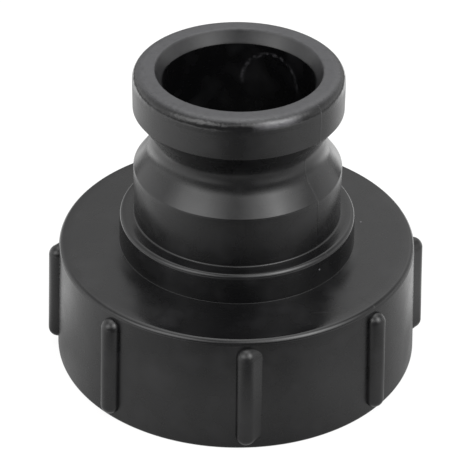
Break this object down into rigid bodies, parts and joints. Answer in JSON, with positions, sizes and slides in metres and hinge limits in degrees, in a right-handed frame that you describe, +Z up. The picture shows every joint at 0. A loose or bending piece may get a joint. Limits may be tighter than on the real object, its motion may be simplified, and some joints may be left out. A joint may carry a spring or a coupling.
{
  "type": "ibc tap adapter",
  "caption": "Bulk container outlet adapter: a ribbed, internally threaded skirt with a flat gasket inside and a grooved cam-lever coupling spigot on top.",
  "frame": {"origin": "centre of the skirt's mouth, in the plane that the adapter stands on", "axes": "+Z up the bore towards the spigot; -Y towards the first grip rib; grip ribs stand at every 45 degrees from it"},
  "size_m": [0.1188, 0.1188, 0.0974],
  "materials": {
    "black_polypropylene": "injection-moulded, satin",
    "black_rubber": "moulded, matt"
  },
  "bodies": {
    "root": {"adapter_body": "black_polypropylene", "flat_gasket": "black_rubber"}
  },
  "joints": []
}
